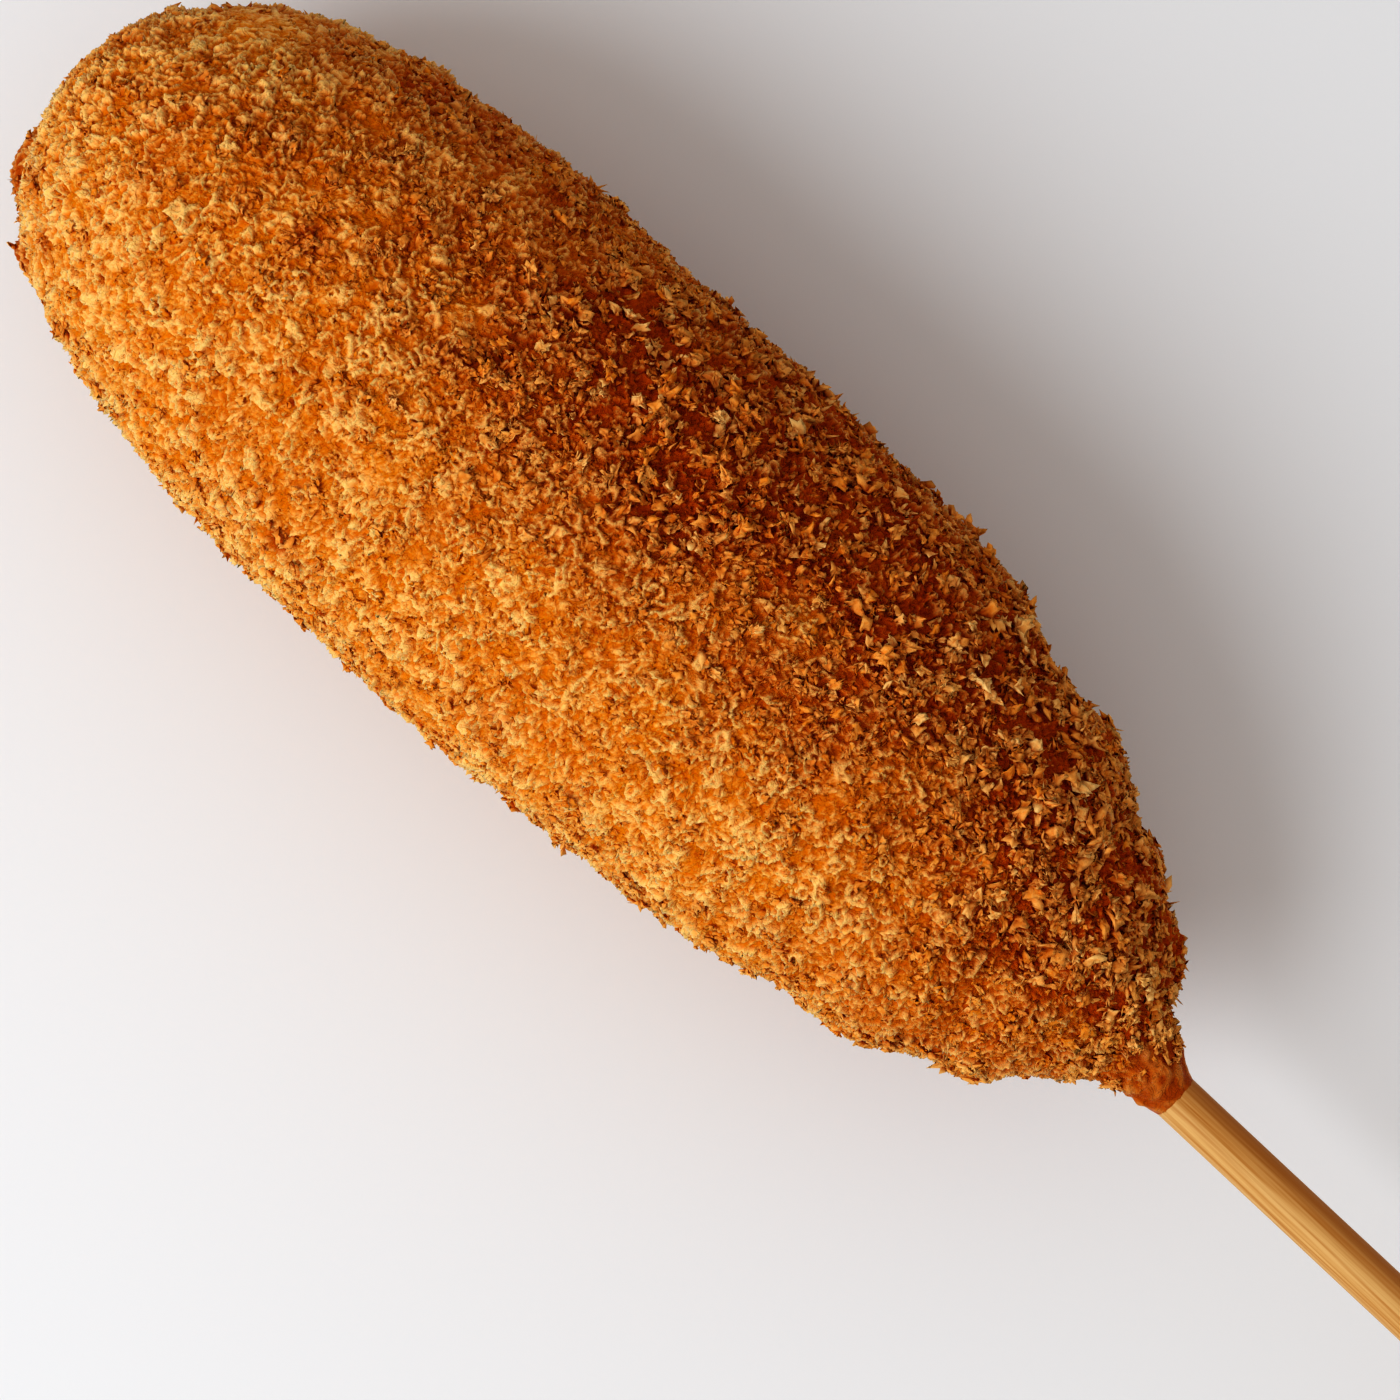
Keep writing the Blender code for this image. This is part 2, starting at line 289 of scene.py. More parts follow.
# The coat's outline in fine steps, and the length along it from the tip.
STATIONS = COAT_LENGTH * np.linspace(0, 1, 3001) ** 1.6
RADII = np.array([coat_radius(station) for station in STATIONS])
BENDS = np.array([smooth_through(BEND, station) for station in STATIONS])
LEANS = np.arctan(np.gradient(RADII, STATIONS))
ALONG = np.concatenate([[0.0], np.cumsum(np.hypot(np.diff(STATIONS), np.diff(RADII)))])


def unit(vectors):
    return vectors / np.maximum(np.linalg.norm(vectors, axis=-1, keepdims=True), 1e-12)


def smooth_point(station, angle):
    """Points of the smooth straight coat in millimetres from the tip, and the way each faces."""
    outwards = np.stack([np.zeros_like(angle), np.sin(angle), np.cos(angle)], axis=1)
    lengthwise = np.array([1.0, 0.0, 0.0])
    lean = np.interp(station, STATIONS, LEANS)[:, None]
    facing = outwards * np.cos(lean) - lengthwise * np.sin(lean)
    return outwards * np.interp(station, STATIONS, RADII)[:, None] + lengthwise * station[:, None], facing


def noise_at(points, size, shift=0.0):
    """Smooth noise from about -1 to 1 at each point."""
    return np.array([noise.noise(point) for point in (points / size + shift).tolist()])


def torn_cells(points, size):
    """Cells like torn flakes: the gap to the next cell, a chance value, a slope and a way for each."""
    found = np.array([
        (near[1] - near[0], *middles[0]) for near, middles in map(noise.voronoi, (points / size).tolist())
    ])
    gap, middle = found[:, 0], found[:, 1:]
    chances = [np.modf(np.abs(np.sin(middle @ np.array(key)) * 4375.85))[0] for key in CELL_KEYS]
    way = unit(np.stack(chances[1:], axis=1) - 0.5)
    return gap, chances[0], np.sum((points / size - middle) * way, axis=1), way


def crinkled_ridges(points, way, size, shift):
    """Narrow ridges drawn out along a way, 1 along their crests and 0 in the pits between."""
    squeezed = points - 0.65 * way * np.sum(points * way, axis=1, keepdims=True)
    return np.clip(1 - 3.0 * np.abs(noise_at(squeezed, size, shift)), 0.0, 1.0)


def new_piece(name, mesh, material, replaced=None):
    """Makes an object of a finished mesh, and rides it on the body."""
    mesh.materials.append(material)
    piece = bpy.data.objects.new(name, mesh)
    bpy.context.scene.collection.objects.link(piece)
    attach(piece, BODY)
    if replaced:
        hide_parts(replaced)
    return piece


def set_attribute(mesh, name, values):
    attribute = mesh.attributes.new(name, "FLOAT", "POINT")
    attribute.data.foreach_set("value", np.asarray(values, np.float32))


def colour_property(name, description, code):
    return bpy.props.FloatVectorProperty(
        name=name, description=description, subtype="COLOR", size=4, min=0.0, max=1.0, default=linear(code)
    )


def length_property(name, description, default):
    return bpy.props.FloatProperty(name=name, description=description, default=default, min=0.0)


def number_property(name, description, default, least=1):
    return bpy.props.IntProperty(name=name, description=description, default=default, min=least)


class BatterSettings(bpy.types.PropertyGroup):
    flake_size: length_property("Flake size", "Width of the fused flakes, in millimetres", 1.7)
    flake_height: length_property("Flake height", "How far fused flakes stand apart, in millimetres", 0.45)
    ridge_height: length_property("Ridge height", "Height of the crinkled ridges, in millimetres", 0.75)
    lean: length_property("Lean", "How far the ridges lean over, in millimetres", 0.5)
    rings: number_property("Rings", "Rings along each stretch", 190, 20)
    sides: number_property("Sides", "Sides of each ring", 520, 12)
    # The pit colour is partly painted shade, and the crest and pale colours partly painted highlights.
    pit_colour: colour_property("Pits", "Colour at the bottom of the pits", "E28A10")
    crest_colour: colour_property("Crests", "Colour of the crests between pits", "F8BE70")
    pale_colour: colour_property("Pale flakes", "Colour of the palest fused flakes", "FFCE86")
    # The toasted colour is partly painted shade on the side towards +Y, away from the window light.
    toast_and_shade_colour: colour_property("Toasted", "Colour of the most toasted stretches", "BA5805")
    bare_colour: colour_property("Bare batter", "Colour of the bare collar", "A45408")


class CrumbSettings(bpy.types.PropertyGroup):
    fine: number_property("Fine crumbs", "Number of fine crumbs", 12000)
    medium: number_property("Medium crumbs", "Number of medium crumbs", 13500)
    large: number_property("Large crumbs", "Number of large crumbs", 900)
    seed: number_property("Seed", "Seed of the scatter", 5)
    # Roots are partly painted shade where crumbs meet the batter, and the tip colour is partly painted
    # glints.
    root_colour: colour_property("Roots", "Colour where a crumb meets the batter", "E48C14")
    body_colour: colour_property("Crumb", "Colour of a fried crumb", "F6BC68")
    tip_colour: colour_property("Tips", "Colour of the palest crumb tips", "FFD088")
    # The toasted colours are partly painted shade on crumbs towards +Y, away from the window light; the
    # toasted tips are brighter, painted glints there.
    toast_and_shade_colour: colour_property("Toasted", "Colour of toasted crumbs", "F09C38")
    toasted_and_shaded_tip_colour: colour_property("Toasted tips", "Colour of toasted crumbs' palest tips", "FFDA9A")
    toasted_and_shaded_root_colour: colour_property("Toasted roots", "Colour of toasted crumbs' roots", "BE5C0A")


class StickSettings(bpy.types.PropertyGroup):
    fibre_depth: length_property("Fibre depth", "Depth of the fibre grooves, in millimetres", 0.05)
    light_colour: colour_property("Light fibres", "Colour of the light bamboo fibres", "DCB478")
    dark_colour: colour_property("Dark fibres", "Colour of the dark bamboo fibres", "BC843C")
    # Painted shade: the stick's side towards +Y, away from the window light, takes this browner colour.
    shade_side_colour: colour_property("Skin side", "Colour of the side nearest to the cane's skin", "B26E0C")


class StageSettings(bpy.types.PropertyGroup):
    floor_colour: colour_property("Floor", "Colour of the pale floor", "E9EAEB")
    key_power: bpy.props.FloatProperty(
        name="Key light", description="Power of the main light, in watts", unit="POWER", default=3.3
    )
    fill: bpy.props.FloatProperty(
        name="Fill light", description="Strength of the light from all round", default=0.385
    )


def swelling_height(station, angle, swellings):
    """Added height from swellings of (station, angle in degrees, width, height)."""
    total = np.zeros_like(station)
    for centre, degrees, width, height in swellings:
        turned = np.remainder(angle - math.radians(degrees) + math.pi, math.tau) - math.pi
        across = turned * max(coat_radius(centre), 1.0)
        total += height * np.exp(-((station - centre) ** 2 + across**2) / (width * width / 2))
    return total


def side_fullness(station, aside):
    """Added height of the coat's two sides, which sag outwards, and of its slimmer tip towards +Y."""
    left, right, slim = (
        amount * smooth_step(*comes_in, station) * smooth_step(*goes_out, station)
        for amount, comes_in, goes_out in (LEFT_FULLNESS, RIGHT_FULLNESS, TIP_SLIMNESS)
    )
    return left * smooth_step(-0.3, -1.0, aside) + (right - slim) * smooth_step(0.2, 1.0, aside)


def coat_relief(plain, station, angle, settings):
    """Height over the smooth coat and sideways lean in millimetres, with the values that colour it.

    It is browner towards +Y, where the browning is partly painted shade on the side away from the window
    light, and towards the collar. The flakes are torn cells with crinkled ridges, and the bare collar has
    soft blobs instead, whose tops are painted paler as highlights.
    """
    bare = smooth_step(BARE_START, BARE_END, station + BARE_WANDER * noise_at(plain, BARE_WANDER))
    smooth = np.clip(swelling_height(station, angle, SMOOTH_SPOTS), 0.0, 1.0)
    blobs = noise_at(plain, BLOB_WIDTH, 6.1)

    # Side rises towards +Y, away from the window light: the browning it brings there is partly toasting and
    # partly painted shade.
    side = smooth_step(-0.65, 0.85, np.sin(angle))
    broad, narrow = noise_at(plain, PATCH_WIDTHS[0]), noise_at(plain, PATCH_WIDTHS[1], 7.7)
    patches = (0.4 * broad + 0.4 * narrow) * (0.4 + 0.6 * side)
    browner = 0.3 + 0.6 * smooth_step(BROWNER_FROM, BROWNER_TO, station)
    brownest = 0.55 * smooth_step(BROWNEST_FROM, BROWNEST_TO, station)
    toast_and_shade = (0.02 + browner * side + patches + brownest) * (1 - smooth)
    toast_and_shade = np.clip(toast_and_shade + swelling_height(station, angle, BROWN_SPOTS), 0.0, 1.0)
    # Paler tops of the collar's blobs: painted highlights.
    toast_and_shade *= 1 - 0.7 * bare * smooth_step(-0.1, 0.4, blobs)

    thick, thin = THICK_AND_THIN_WIDTHS
    flaky = smooth_step(-0.45, 0.25, noise_at(plain, thick, 3.1) + 0.5 * noise_at(plain, thin, 5.3))
    flaky = (0.6 + 0.4 * flaky) * (1 - bare) * (1 - 0.75 * smooth)
    warp = np.stack([noise_at(plain, TEAR_WIDTH, shift) for shift in (11.3, 23.9, 37.1)], axis=1)
    gap, chance, slope, way = torn_cells(plain + 0.9 * warp, settings.flake_size)
    small_way = torn_cells(plain + 0.6 * warp, 0.55 * settings.flake_size)[3]
    flakes = 0.6 * (chance - 0.5) + 0.8 * slope - 0.4 * (1 - smooth_step(0.0, 0.25, gap))
    ridges = crinkled_ridges(plain + 0.3 * warp, way, RIDGE_WIDTH, 2.9)
    small_ridges = crinkled_ridges(plain + 0.2 * warp, small_way, SMALL_RIDGE_WIDTH, 4.1)
    crinkles = ridges * (0.4 + 0.6 * chance) + 0.45 * small_ridges
    relief = flakes * settings.flake_height + (crinkles - 0.4) * settings.ridge_height

    lumps = sum(height * noise_at(plain, size) for size, height in LUMPS) * (1 - 0.85 * bare)
    soft = 0.3 * noise_at(plain, SOFT_WIDTH, 1.7)
    height = lumps + swelling_height(station, angle, SWELLINGS) + relief * flaky + soft
    height += (0.6 * blobs + 0.3 * noise_at(plain, GRAIN_WIDTH)) * bare - 0.3 * toast_and_shade * (1 - bare)
    height += side_fullness(station, np.sin(angle))
    lean = warp * (settings.lean * (ridges - 0.3) * flaky)[:, None]
    # Crests are painted paler and pits darker: partly the crust's own colour, partly painted highlights and
    # shade.
    crest = smooth_step(0.0, 0.8, 0.75 * crinkles + 0.35 * flakes - 0.2 * toast_and_shade)
    # The relief gives the collar's blob tops the crest colour: painted highlights.
    return height, lean, {
        "relief": crest * (1 - bare) + bare * np.clip(0.25 + 0.7 * blobs, 0, 1),
        "paleness": smooth_step(0.25, 0.9, chance) * flaky * (1 - 0.6 * toast_and_shade),
        "toast_and_shade": toast_and_shade,
        "bareness": bare,
    }


def make_stretch(name, number, settings):
    """One closed stretch of the batter, of even rings along its outline.

    Where two stretches meet, each goes on for one ring just under the other's surface.
    """
    shape = bmesh.new()
    bmesh.ops.create_cone(
        shape, cap_ends=True, cap_tris=True, segments=settings.sides, radius1=1, radius2=1,
        depth=settings.rings,
    )
    lengthwise = [edge for edge in shape.edges if edge.calc_length() > settings.rings - 1]
    bmesh.ops.subdivide_edges(shape, edges=lengthwise, cuts=settings.rings - 1, use_grid_fill=True)
    mesh = bpy.data.meshes.new(name)
    shape.to_mesh(mesh)
    shape.free()
    tube = np.empty(len(mesh.vertices) * 3)
    mesh.vertices.foreach_get("co", tube)
    tube = tube.reshape(-1, 3)
    ring = settings.rings / 2 - tube[:, 2]
    turn = np.arctan2(tube[:, 1], tube[:, 0])
    angle = turn - TOP_FINENESS * np.sin(turn)
    centre = np.hypot(tube[:, 0], tube[:, 1]) < 0.5
    first, final = number == 0, number == len(STRETCHES) - 1
    step = ALONG[-1] / (len(STRETCHES) * (settings.rings - 2) + 3)
    along = step * (1 + number * (settings.rings - 2) + ring)
    along[centre & (ring < 1)] = 0.0 if first else along.min()
    station = np.interp(along, ALONG, STATIONS)
    plain, facing = smooth_point(station, angle)
    height, lean, looks = coat_relief(plain, station, angle, settings)
    height *= smooth_step(COAT_LENGTH, COAT_LENGTH - 4.0, station)
    lean -= facing * np.sum(lean * facing, axis=1, keepdims=True)
    lean *= (smooth_step(0.0, 2.0, station) * smooth_step(COAT_LENGTH, COAT_LENGTH - 2.0, station))[:, None]
    under = ((ring < 0.5) & (not first)) | ((ring > settings.rings - 0.5) & (not final))
    point = plain + lean + facing * (height - np.where(under, UNDERLAP, 0.0))[:, None]
    point[centre & (station > 1), 1:] = 0.0
    point[:, 1] += np.interp(station, STATIONS, BENDS)
    world = point * MM + TIP
    world[:, 2] = np.maximum(world[:, 2], 0.0)
    mesh.vertices.foreach_set("co", world.reshape(-1))
    mesh.update()
    mesh.shade_smooth()
    for key, values in looks.items():
        set_attribute(mesh, key, values)
    return mesh


def crinkle_lines(tree, width):
    """Thin wandering ridges as of crinkled crumb, 1 on the ridges and 0 between. The width is in metres."""
    place = add_node(tree, "ShaderNodeTexCoord")
    field = add_node(
        tree, "ShaderNodeTexNoise",
        {"Vector": place.outputs["Object"], "Scale": 1 / width, "Detail": 2.5, "Distortion": 0.6},
    )
    off = add_node(tree, "ShaderNodeMath", {0: field.outputs["Fac"], 1: 0.5}, operation="SUBTRACT")
    away = add_node(tree, "ShaderNodeMath", {0: off.outputs[0]}, operation="ABSOLUTE")
    ridge = add_node(
        tree, "ShaderNodeMapRange",
        {"Value": away.outputs[0], "From Max": 0.11, "To Min": 1.0, "To Max": 0.0},
    )
    return ridge.outputs["Result"]


def product(tree, first, second):
    """The output of two numbers multiplied, each a value or another node's socket."""
    return add_node(tree, "ShaderNodeMath", {0: first, 1: second}, operation="MULTIPLY").outputs[0]


def fried_batter(settings):
    """Deep-fried wheat and corn batter with bread crumbs fused to it.

    The pits are amber and the dry flakes between them pale gold, partly painted shade in the pits and painted
    highlights on the crests, with thin pale lines along the crests as painted highlights. Toasting, and
    painted shade on the side towards +Y away from the window light, turn it brown from the pits up, and the
    painted shade is deepest in the pits. The oil has sunk in, so only the bare collar has a thin gloss, and
    light goes a little way into the crust.
    """
    material = bpy.data.materials.new("fried_batter")
    material.use_nodes = True
    tree = material.node_tree
    shader = tree.nodes["Principled BSDF"]
    relief, pale, toast_shade, bare = (
        add_node(tree, "ShaderNodeAttribute", attribute_name=name).outputs["Fac"]
        for name in ("relief", "paleness", "toast_and_shade", "bareness")
    )
    lines = crinkle_lines(tree, CRINKLE_WIDTH * MM)
    # Pit to crest: partly painted shade in the pits and painted highlights on the crests.
    base = mix_colours(tree, relief, settings.pit_colour, settings.crest_colour)
    # Thin pale lines along the crests: painted highlights.
    lined = mix_colours(tree, product(tree, product(tree, lines, relief), 0.55), base, settings.pale_colour)
    flakes = mix_colours(tree, product(tree, pale, relief), lined, settings.pale_colour)
    # Browning and painted shade go deepest in the pits, and the extra depth there is painted shade.
    pit_shade = add_node(tree, "ShaderNodeMapRange", {"Value": relief, "To Min": 1.3, "To Max": 0.5})
    browning_and_shade = product(tree, toast_shade, pit_shade.outputs["Result"])
    # Browning: partly toasting and partly painted shade towards +Y.
    browned_and_shaded = mix_colours(tree, browning_and_shade, flakes, settings.toast_and_shade_colour)
    collar = mix_colours(tree, product(tree, bare, 0.5), browned_and_shaded, settings.bare_colour)
    tree.links.new(collar, shader.inputs["Base Color"])
    bump = add_node(tree, "ShaderNodeBump", {"Height": lines, "Strength": 0.8, "Distance": 0.15 * MM})
    tree.links.new(bump.outputs["Normal"], shader.inputs["Normal"])
    tree.links.new(product(tree, bare, 0.2), shader.inputs["Coat Weight"])
    shader.inputs["Coat Roughness"].default_value = 0.1
    shader.inputs["Roughness"].default_value = 0.35
    shader.inputs["Specular IOR Level"].default_value = 0.04
    shader.inputs["Subsurface Weight"].default_value = 0.4
    shader.inputs["Subsurface Radius"].default_value = (1.0, 1.0, 0.9)
    shader.inputs["Subsurface Scale"].default_value = 0.8 * MM
    return material


def fried_crumb(settings):
    """Torn bread crumb fried crisp: brown where it is rooted in the batter, partly painted shade where it
    meets the batter, and pale at its thin edges and tips, partly painted glints.

    It is dry and crinkled, so it hardly shines, and its look comes from its facets and its colours.
    """
    material = bpy.data.materials.new("fried_crumb")
    material.use_nodes = True
    tree = material.node_tree
    shader = tree.nodes["Principled BSDF"]
    rise, pale, toast_shade = (
        add_node(tree, "ShaderNodeAttribute", attribute_name=name).outputs["Fac"]
        for name in ("rise", "paleness", "toast_and_shade")
    )
    lines = crinkle_lines(tree, CRINKLE_WIDTH * MM)
    # Crumb toasting carries the coat's painted shade towards +Y.
    root = mix_colours(tree, toast_shade, settings.root_colour, settings.toasted_and_shaded_root_colour)
    body = mix_colours(tree, toast_shade, settings.body_colour, settings.toast_and_shade_colour)
    # Darker roots and paler raised parts: partly painted shade where the crumb meets the batter.
    crumb = mix_colours(tree, rise, root, body)
    # Pale lines on the raised parts, and the pale tips below: partly painted glints.
    lined = mix_colours(tree, product(tree, product(tree, lines, rise), 0.3), crumb, settings.tip_colour)
    # The palest tips are brighter towards +Y: painted glints on the shaded side.
    tip = mix_colours(tree, toast_shade, settings.tip_colour, settings.toasted_and_shaded_tip_colour)
    tipped = mix_colours(tree, product(tree, pale, rise), lined, tip)
    tree.links.new(tipped, shader.inputs["Base Color"])
    bump = add_node(tree, "ShaderNodeBump", {"Height": lines, "Strength": 0.4, "Distance": 0.08 * MM})
    tree.links.new(bump.outputs["Normal"], shader.inputs["Normal"])
    shader.inputs["Roughness"].default_value = 0.4
    shader.inputs["Specular IOR Level"].default_value = 0.04
    return material


def flake_shape(draw, rim, rings):
    """A torn crumb flake of unit width, as points, triangles and how near each point is to its edge.

    It is thin and jagged with three to five lobes, and curls up or down as a saddle does.
    """
    turn = math.tau * (np.arange(rim) + draw.uniform(-0.35, 0.35, rim)) / rim
    lobes, phase = draw.integers(3, 6), draw.uniform(0, math.tau)
    reach = draw.uniform(0.26, 0.44, rim) * (1 + 0.27 * np.cos(lobes * turn + phase))
    slimness, dish, twist = draw.uniform(0.3, 0.75), draw.uniform(-1.3, 1.3), draw.uniform(-1.6, 1.6)
    points, edges = [(0.0, 0.0, draw.uniform(-0.05, 0.05))], [0.1]
    for ring in range(1, rings + 1):
        out = reach * (ring / rings) * (1 if ring == rings else draw.uniform(0.8, 1.2, rim))
        x, y = out * np.cos(turn), out * np.sin(turn) * slimness
        z = dish * (x * x - y * y) + twist * x * y + draw.uniform(-0.09, 0.09, rim)
        points += list(zip(x, y, z))
        edges += [0.1 + 0.9 * (ring / rings) ** 2] * rim
    points.append((0.0, 0.0, points[0][2] - draw.uniform(0.12, 0.25)))
    edges.append(0.1)
    faces = []
    for side in range(rim):
        after = (side + 1) % rim
        faces.append((0, 1 + side, 1 + after))
        for ring in range(rings - 1):
            low, high = 1 + ring * rim, 1 + (ring + 1) * rim
            faces += [(low + side, high + side, high + after), (low + side, high + after, low + after)]
        last = 1 + (rings - 1) * rim
        faces.append((len(points) - 1, last + after, last + side))
    return np.array(points), np.array(faces), np.array(edges)


def turned_pair(first, second, angle):
    """Two square directions at each place, both turned by the angle from the first to the second."""
    cosine, sine = np.cos(angle)[:, None], np.sin(angle)[:, None]
    return first * cosine + second * sine, second * cosine - first * sine


def scatter_crumbs(name, places, kinds, lengths, draw, material):
    """One mesh of many crumbs. Places hold points, normals, toasting, paleness, lift and scale."""
    count = len(places["points"])
    normals = places["normals"]
    kind = draw.integers(0, len(kinds), count)
    shapes, faces, edges = (np.stack(part)[kind] for part in zip(*kinds))
    length = (draw.uniform(0, 1, count) ** 1.6 * (lengths[1] - lengths[0]) + lengths[0]) * places["scale"]
    along = unit(np.cross(normals, draw.normal(size=(count, 3))))
    across = np.cross(normals, along)
    tilt = np.radians(CRUMB_LEAN + TOASTED_LEAN * places["toast_and_shade"])
    along, upright = turned_pair(along, normals, tilt * draw.uniform(-1, 1, count))
    across, upright = turned_pair(across, upright, 0.8 * tilt * draw.uniform(-1, 1, count))
    axes = np.stack([along, across, upright], axis=2)
    offset = np.einsum("nij,nvj->nvi", axes, shapes * length[:, None, None])
    height = np.einsum("nvi,ni->nv", offset, normals)
    low, high = height.min(axis=1), height.max(axis=1)
    depth = np.maximum((0.7 - 0.34 * places["toast_and_shade"]) * (high - low) - places["lift"], LEAST_DEPTH)
    lift = -low - depth
    offset += (normals * lift[:, None])[:, None, :]
    height += lift[:, None]
    world = places["points"][:, None, :] + offset * MM
    world[:, :, 2] = np.maximum(world[:, :, 2], 0.0)
    size = shapes.shape[1]
    corners = faces + (np.arange(count) * size)[:, None, None]
    mesh = bpy.data.meshes.new(name)
    mesh.vertices.add(count * size)
    mesh.vertices.foreach_set("co", world.reshape(-1).astype(np.float32))
    mesh.loops.add(corners.size)
    mesh.loops.foreach_set("vertex_index", corners.reshape(-1).astype(np.int32))
    mesh.polygons.add(corners.size // 3)
    mesh.polygons.foreach_set("loop_start", np.arange(0, corners.size, 3, dtype=np.int32))
    mesh.update(calc_edges=True)
    mesh.shade_smooth()
    # Rise paints roots darker, partly as shade, and raised parts paler, partly as glints.
    set_attribute(mesh, "rise", np.clip(0.15 + height / 0.9, 0, 1).reshape(-1))
    set_attribute(mesh, "paleness", (places["paleness"][:, None] * (0.5 + 0.5 * edges)).reshape(-1))
    set_attribute(mesh, "toast_and_shade", np.repeat(1 - (1 - places["toast_and_shade"]) ** 2, size))
    return new_piece(name, mesh, material)


def read_batter():
    """Places, facings and looks of all the batter's vertices as arrays, and a tree to find them by."""
    kept = {key: [] for key in ("points", "toast_and_shade", "bareness")}
    for name in STRETCHES:
        mesh = bpy.data.objects[name].data
        count = len(mesh.vertices)
        points = np.empty(count * 3)
        mesh.vertices.foreach_get("co", points)
        kept["points"].append(points.reshape(-1, 3))
        for key in ("toast_and_shade", "bareness"):
            values = np.empty(count)
            mesh.attributes[key].data.foreach_get("value", values)
            kept[key].append(values)
    batter = {key: np.concatenate(values) for key, values in kept.items()}
    station = np.clip((batter["points"][:, 0] - TIP_X) / MM, 0, COAT_LENGTH)
    away = (batter["points"][:, 1:] - np.array([AXIS_Y, AXIS_Z])) / MM
    away[:, 0] -= np.interp(station, STATIONS, BENDS)
    angle = np.arctan2(away[:, 0], away[:, 1])
    batter["station"] = station
    batter["facing"] = smooth_point(station, angle)[1]
    batter["area"] = np.interp(station, STATIONS, RADII)
    batter["tree"] = kdtree.KDTree(len(station))
    for number, point in enumerate(batter["points"].tolist()):
        batter["tree"].insert(point, number)
    batter["tree"].balance()
    return batter


def nearest(batter, points):
    """Numbers of the batter's vertices that lie nearest to the points."""
    return np.array([batter["tree"].find(point)[1] for point in points.tolist()])


def crumb_places(batter, count, crowd, liking, draw):
    """Seeded places for crumbs, in clusters of about the crowd's size that share height and paleness.

    The liking says how much more of them lie where the batter is toasted, which takes in the painted shade
    towards +Y. Near the collar and at the brink towards +Y they are larger and paler, the paleness at the
    brink a painted rim light, and on the flank towards -Y they stand out more. The palest crumbs are partly
    painted glints, and more of them lie towards +Y.
    """
    covered = (1 - batter["bareness"]) + 0.01
    weight = batter["area"] * covered * np.maximum(0.6 + liking * batter["toast_and_shade"], 0.1)
    weight *= 0.5 + 0.5 * smooth_step(10, 60, batter["station"])
    centres = draw.choice(len(weight), max(count // crowd, 1), p=weight / weight.sum())
    cluster = draw.integers(0, len(centres), count)
    picked = centres[cluster]
    facing = batter["facing"][picked]
    spread = draw.normal(size=(count, 3)) * (0.28 * math.sqrt(crowd - 1)) * MM
    spread -= facing * np.sum(spread * facing, axis=1, keepdims=True)
    picked = nearest(batter, batter["points"][picked] + spread)
    facing = batter["facing"][picked]
    # More of the palest crumbs lie towards +Y: partly painted glints on the shaded side.
    palest = draw.uniform(0, 1, len(centres)) < 0.14 + 0.2 * batter["toast_and_shade"][centres]
    paleness = np.where(palest, 0.95, draw.uniform(0, 0.3, len(centres)))[cluster]
    paleness += draw.normal(0, 0.12, count)
    collarward = smooth_step(105, 140, batter["station"][picked])
    # Crumbs at the brink towards +Y are paler: painted rim light.
    brink = smooth_step(0.6, 0.95, facing[:, 1])
    toast_and_shade = 0.9 * batter["toast_and_shade"][picked] - 0.55 * collarward - 0.4 * brink - 0.3 * palest[cluster]
    toast_and_shade += draw.normal(0, 0.15, len(centres))[cluster] + draw.normal(0, 0.1, count)
    toast_and_shade = np.clip(toast_and_shade, 0, 1)
    # Paler where less toasted and shaded: partly painted light on the side towards the window.
    paleness = np.clip(paleness + 0.3 * collarward + 0.15 * (1 - toast_and_shade), 0, 1)
    flank = smooth_step(0.7, 1.0, -facing[:, 1])
    heap = 0.3 if crowd > 1 else 0.1
    lift = draw.uniform(0, 1, len(centres))[cluster] ** 2 * heap * (0.4 + toast_and_shade + flank)
    return {
        "points": batter["points"][picked],
        "normals": facing,
        "toast_and_shade": toast_and_shade,
        "paleness": paleness,
        "lift": lift + 0.4 * toast_and_shade - 0.1 + 0.2 * flank + 0.2 * palest[cluster],
        "scale": 0.85 + 0.4 * toast_and_shade + 0.55 * collarward + 0.2 * flank + 0.4 * brink,
    }


def cluster_places(batter, draw):
    """Places for the flakes of the pale clusters."""
    rows = np.repeat(np.array(PALE_CLUSTERS), FLAKES_PER_CLUSTER, axis=0)
    station, degrees, length, paleness = rows.T
    count = len(rows)
    plain, facing = smooth_point(station, np.radians(degrees))
    plain[:, 1] += np.interp(station, STATIONS, BENDS)
    sideways = unit(np.cross(facing, draw.normal(size=facing.shape)))
    plain += sideways * draw.uniform(0, CLUSTER_REACH, (count, 1))
    picked = nearest(batter, plain * MM + TIP)
    return {
        "points": batter["points"][picked],
        "normals": batter["facing"][picked],
        "toast_and_shade": draw.uniform(0, 0.5, count),
        "paleness": np.clip(paleness + draw.normal(0, 0.15, count), 0, 1),
        "lift": draw.uniform(0.0, 0.6, count),
        "scale": length * draw.uniform(0.6, 1.1, count),
    }


class CORNDOG_OT_batter(bpy.types.Operator):
    """Models the fried batter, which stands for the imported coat"""

    bl_idname = "corn_dog.batter"
    bl_label = "Batter"

    def execute(self, context):
        settings = context.scene.corn_dog_batter
        material = fried_batter(settings)
        for number, name in enumerate(STRETCHES):
            new_piece(name, make_stretch(name, number, settings), material, "crumb_coat")
        return {"FINISHED"}


